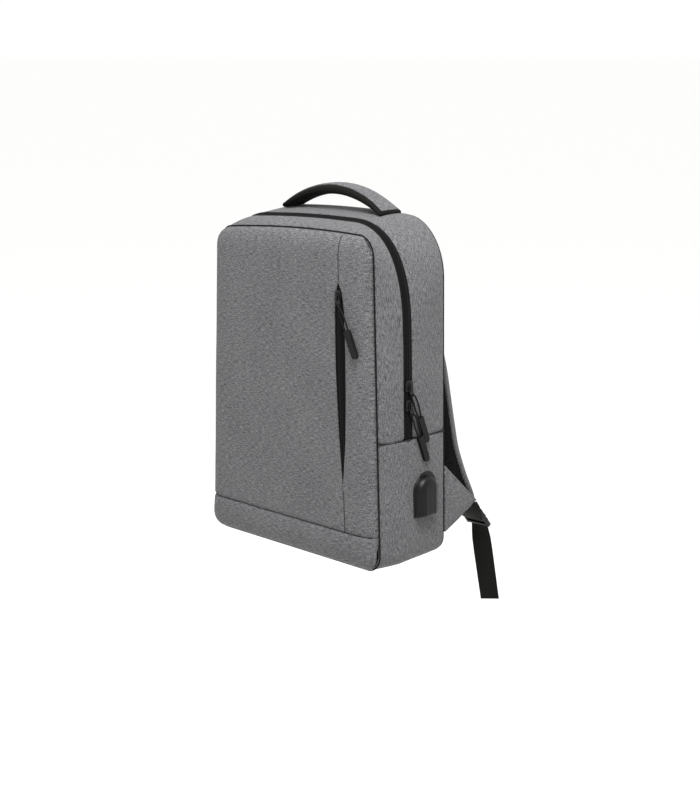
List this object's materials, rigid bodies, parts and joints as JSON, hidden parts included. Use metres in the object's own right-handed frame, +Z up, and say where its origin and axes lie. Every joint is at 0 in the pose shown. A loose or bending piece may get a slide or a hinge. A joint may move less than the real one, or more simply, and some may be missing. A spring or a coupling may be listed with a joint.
{
  "type": "laptop backpack with side charging port",
  "caption": "Slim laptop backpack with a padded shell, fold-open zipped front, slanted front pocket, arched grab handle, padded shoulder straps and a hooded side charging port.",
  "frame": {"origin": "the underside of the grab handle, at its middle, where a hand or hook carries the pack", "axes": "+Z up, +Y from the front panel towards the wearer's back, +X towards the side with the charging port"},
  "size_m": [0.3171, 0.2644, 0.5558],
  "materials": {
    "grey_fabric": "two-tone woven polyester",
    "black_mesh": "black air mesh",
    "lining": "thin black lining cloth",
    "foam_board": "stiffening sheet",
    "foam": "foam inside its cover",
    "zip_tape": "black zip tape and coil",
    "zip_metal": "black painted zinc",
    "pull_cord": "braided black cord",
    "pull_rubber": "moulded soft grip",
    "port_rubber": "smooth black rubber",
    "port_plastic": "black moulding",
    "port_steel": "plated socket shell",
    "lead": "black cable jacket",
    "webbing": "black ribbed webbing",
    "buckle_plastic": "black acetal"
  },
  "bodies": {
    "pack_body": {"front_panel_lower": "grey_fabric", "side_strip_lower": "grey_fabric", "front_band": "grey_fabric", "rear_gusset": "grey_fabric", "lower_side_right": "grey_fabric", "lower_side_left": "grey_fabric", "base_panel": "grey_fabric", "base_board": "foam_board", "back_panel": "black_mesh", "back_board": "foam_board", "back_pad_right": "black_mesh", "back_pad_left": "black_mesh", "lumbar_pad": "black_mesh", "main_zip_rear": "zip_tape", "pocket_zip_lower": "zip_tape", "pocket_lining_lower": "lining", "lining_rear": "lining", "laptop_sleeve": "lining", "sleeve_tab": "lining", "battery_pocket": "lining", "handle_cover": "grey_fabric", "handle_core": "foam", "handle_underside": "black_mesh", "port_hood": "port_rubber", "port_flange": "port_rubber", "port_body": "port_plastic", "port_socket": "port_steel", "charging_lead": "lead", "charging_plug": "port_plastic", "lead_clips": "lining", "lower_webbing_right": "webbing", "lower_webbing_left": "webbing", "wings": "grey_fabric"},
    "front_cover": {"front_panel_upper": "grey_fabric", "side_strip_upper": "grey_fabric", "front_gusset": "grey_fabric", "main_zip_front": "zip_tape", "pocket_zip_upper": "zip_tape", "pocket_lining_upper": "lining", "lining_front": "lining"},
    "upper_slider_body": {"upper_slider": "zip_metal"},
    "upper_pull": {"upper_puller": "zip_metal", "upper_pull_cord": "pull_cord", "upper_pull_tip": "pull_rubber"},
    "lower_slider_body": {"lower_slider": "zip_metal"},
    "lower_pull": {"lower_puller": "zip_metal", "lower_pull_cord": "pull_cord", "lower_pull_tip": "pull_rubber"},
    "pocket_slider_body": {"pocket_slider": "zip_metal"},
    "pocket_pull": {"pocket_puller": "zip_metal", "pocket_pull_cord": "pull_cord", "pocket_pull_tip": "pull_rubber"},
    "strap_right": {"strap_pad_right": "foam", "strap_covers_right": "grey_fabric", "ladder_lock_right": "buckle_plastic"},
    "strap_left": {"strap_pad_left": "foam", "strap_covers_left": "grey_fabric", "ladder_lock_left": "buckle_plastic"},
    "strap_tail_right": {"tail_right": "webbing"},
    "strap_tail_left": {"tail_left": "webbing"}
  },
  "joints": [
    {"name": "cover_fold", "type": "hinge", "parent": "pack_body", "child": "front_cover", "pos_m": [0, -0.1003, -0.2855], "axis": [1, 0, 0], "range_deg": [0, 50]},
    {"name": "upper_slide", "type": "slide", "parent": "pack_body", "child": "upper_slider_body", "axis": [-0.0194, 0, 0.9998], "range_m": [0, 0.06]},
    {"name": "upper_pull_flip", "type": "hinge", "parent": "upper_slider_body", "child": "upper_pull", "pos_m": [0.15139, -0.03947, -0.22076], "axis": [0.0073, -0.9272, -0.3745], "range_deg": [0, 110]},
    {"name": "lower_slide", "type": "slide", "parent": "pack_body", "child": "lower_slider_body", "axis": [-0.0194, 0, 0.9998], "range_m": [-0.016, 0]},
    {"name": "lower_pull_flip", "type": "hinge", "parent": "lower_slider_body", "child": "lower_pull", "pos_m": [0.15185, -0.03947, -0.24476], "axis": [0.0073, -0.9272, -0.3745], "range_deg": [0, 110]},
    {"name": "pocket_slide", "type": "slide", "parent": "front_cover", "child": "pocket_slider_body", "axis": [-0.0324, 0, 0.9995], "range_m": [-0.165, 0]},
    {"name": "pocket_pull_flip", "type": "hinge", "parent": "pocket_slider_body", "child": "pocket_pull", "pos_m": [0.08873, -0.1025, -0.10986], "axis": [-0.9074, 0, -0.4204], "range_deg": [0, 110]},
    {"name": "strap_swing_right", "type": "hinge", "parent": "pack_body", "child": "strap_right", "pos_m": [0.056, 0.04, -0.0435], "axis": [1, 0, 0], "range_deg": [0, 25], "deforming": ["lower_webbing_right"]},
    {"name": "tail_swing_right", "type": "hinge", "parent": "strap_right", "child": "strap_tail_right", "pos_m": [0.118, 0.1396, -0.4354], "axis": [1, 0, 0], "range_deg": [-25, 40]},
    {"name": "strap_swing_left", "type": "hinge", "parent": "pack_body", "child": "strap_left", "pos_m": [-0.056, 0.04, -0.0435], "axis": [1, 0, 0], "range_deg": [0, 25], "deforming": ["lower_webbing_left"]},
    {"name": "tail_swing_left", "type": "hinge", "parent": "strap_left", "child": "strap_tail_left", "pos_m": [-0.118, 0.1396, -0.4354], "axis": [1, 0, 0], "range_deg": [-25, 40]}
  ]
}
